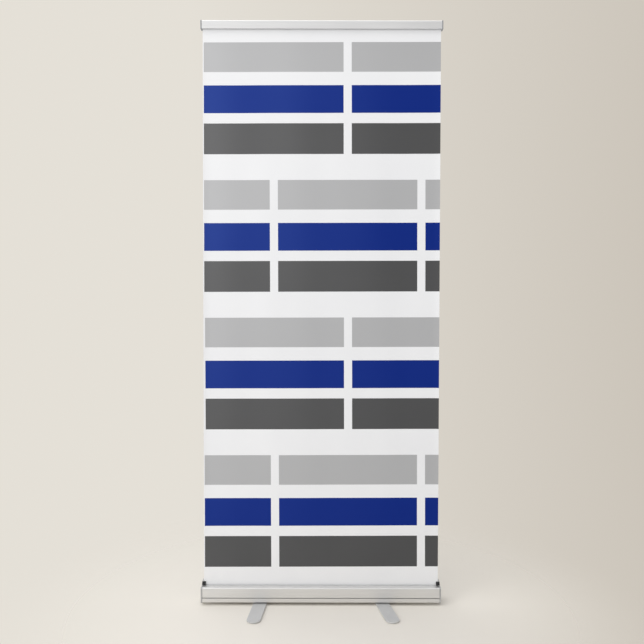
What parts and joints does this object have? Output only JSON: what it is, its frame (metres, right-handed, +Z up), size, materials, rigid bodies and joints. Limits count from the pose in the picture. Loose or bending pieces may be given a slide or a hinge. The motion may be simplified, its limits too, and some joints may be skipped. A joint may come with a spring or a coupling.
{
  "type": "roll-up banner stand",
  "caption": "Retractable roll-up banner stand: sprung film in an aluminium cassette, snap top rail on a telescopic rear pole, and two turning feet.",
  "frame": {"origin": "on the floor, midway between the two foot pivots", "axes": "+X to the right seen from the front, the front faces -Y, +Z up"},
  "size_m": [0.8646, 0.3788, 2.0948],
  "materials": {
    "aluminium": "brushed, satin anodised, natural silver",
    "end_cap": "moulded, silver-grey",
    "foot_steel": "powder coated, satin silver-grey",
    "fastener": "zinc plated",
    "spring_steel": "oiled spring steel",
    "black_plastic": "moulded, fine grain",
    "grey_plastic": "moulded, satin",
    "rubber": "matt",
    "film": "printed film, semi-matt, blue and grey bars on white"
  },
  "bodies": {
    "cassette": {"cassette_base": "aluminium", "cassette_front_cover": "aluminium", "end_cap_left": "end_cap", "end_cap_right": "end_cap", "slot_guide_left": "black_plastic", "slot_guide_right": "black_plastic", "cap_screw_left_front": "fastener", "cap_screw_left_rear": "fastener", "cap_screw_right_front": "fastener", "cap_screw_right_rear": "fastener", "roller_axle_left": "fastener", "roller_axle_right": "fastener", "roller_spring": "spring_steel", "banner_graphic": "film", "pole_socket": "black_plastic", "pole_socket_screw": "fastener", "foot_pivot_pin_left": "fastener", "foot_washer_left": "grey_plastic", "foot_nut_left": "fastener", "foot_pivot_pin_right": "fastener", "foot_washer_right": "grey_plastic", "foot_nut_right": "fastener"},
    "roller": {"roller_tube": "aluminium", "banner_leader_coil": "film", "roller_plug_left": "black_plastic", "roller_plug_right": "black_plastic"},
    "foot_left": {"foot_left": "foot_steel", "foot_pad_left_front": "rubber", "foot_pad_left_rear": "rubber"},
    "foot_right": {"foot_right": "foot_steel", "foot_pad_right_front": "rubber", "foot_pad_right_rear": "rubber"},
    "rail": {"rail_back": "aluminium", "rail_cap_left": "grey_plastic", "rail_cap_right": "grey_plastic"},
    "rail_jaw": {"rail_jaw": "aluminium", "rail_grip_strip": "rubber"},
    "pole_lower": {"pole_lower": "aluminium", "pole_foot_plug": "black_plastic"},
    "pole_middle": {"pole_middle": "aluminium", "pole_bush_middle": "black_plastic"},
    "pole_upper": {"pole_upper": "aluminium", "pole_bush_upper": "black_plastic", "pole_head": "black_plastic"},
    "pole_lock_lower": {"pole_lock_lower": "black_plastic"},
    "pole_lock_upper": {"pole_lock_upper": "black_plastic"}
  },
  "joints": [
    {"name": "foot_left_swivel", "type": "hinge", "parent": "cassette", "child": "foot_left", "pos_m": [-0.217, 0, 0.006], "axis": [0, 0, -1], "range_deg": [-4.5, 85.5]},
    {"name": "foot_right_swivel", "type": "hinge", "parent": "cassette", "child": "foot_right", "pos_m": [0.217, 0, 0.006], "axis": [0, 0, 1], "range_deg": [-10, 80]},
    {"name": "rail_lower", "type": "slide", "parent": "cassette", "child": "rail", "axis": [0, 0, -1], "range_m": [0, 1.984], "deforming": ["banner_graphic"]},
    {"name": "roller_spin", "type": "hinge", "parent": "cassette", "child": "roller", "pos_m": [0, 0.00592, 0.03895], "axis": [1, 0, 0], "continuous": true},
    {"name": "rail_jaw_open", "type": "hinge", "parent": "rail", "child": "rail_jaw", "pos_m": [0, -0.017, 2.09], "axis": [-1, 0, 0], "range_deg": [0, 75]},
    {"name": "pole_lift", "type": "slide", "parent": "cassette", "child": "pole_lower", "axis": [0, -0.0121, 0.9999], "range_m": [0, 0.3]},
    {"name": "pole_middle_slide", "type": "slide", "parent": "pole_lower", "child": "pole_middle", "axis": [0, 0.0121, -0.9999], "range_m": [0, 0.6]},
    {"name": "pole_upper_slide", "type": "slide", "parent": "pole_middle", "child": "pole_upper", "axis": [0, 0.0121, -0.9999], "range_m": [0, 0.6]},
    {"name": "pole_lock_lower_twist", "type": "hinge", "parent": "pole_lower", "child": "pole_lock_lower", "pos_m": [0, 0.03818, 0.0103], "axis": [0, -0.0121, 0.9999], "range_deg": [0, 90]},
    {"name": "pole_lock_upper_twist", "type": "hinge", "parent": "pole_middle", "child": "pole_lock_upper", "pos_m": [0, 0.03818, 0.0103], "axis": [0, -0.0121, 0.9999], "range_deg": [0, 90]}
  ],
  "couplings": [
    {"joint": "roller_spin", "follows": "rail_lower", "rad_per_m": 56.41}
  ]
}
